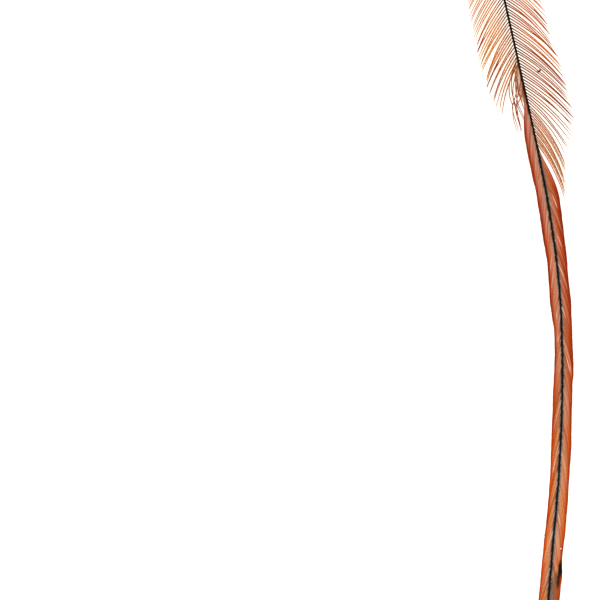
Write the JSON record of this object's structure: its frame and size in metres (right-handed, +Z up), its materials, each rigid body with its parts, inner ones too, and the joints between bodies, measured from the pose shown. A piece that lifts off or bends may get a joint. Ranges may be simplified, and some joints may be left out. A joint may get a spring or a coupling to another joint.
{
  "type": "dry fly hackle feather",
  "caption": "Long, slender rooster saddle feather for dry flies: open barbs near the quill, then a narrow closed ribbon of folded barbs down to the tip.",
  "frame": {"origin": "middle of the feather's box, on the surface that it lies on", "axes": "+Y towards the quill's cut base, -Y towards the tip, +X to the right seen from above, +Z up from the surface"},
  "size_m": [0.0191, 0.152, 0.0014],
  "materials": {
    "barbs": "satin, fine russet barbs, tan inside and deep red-brown at their tips",
    "stem": "satin horn, pale at the quill and near black through the vane",
    "down": "matte, soft grey-tan fluff at the vane's foot",
    "dust": "matte specks of dust and chaff caught among the barbs"
  },
  "bodies": {
    "root": {"feather": "barbs"}
  },
  "joints": []
}
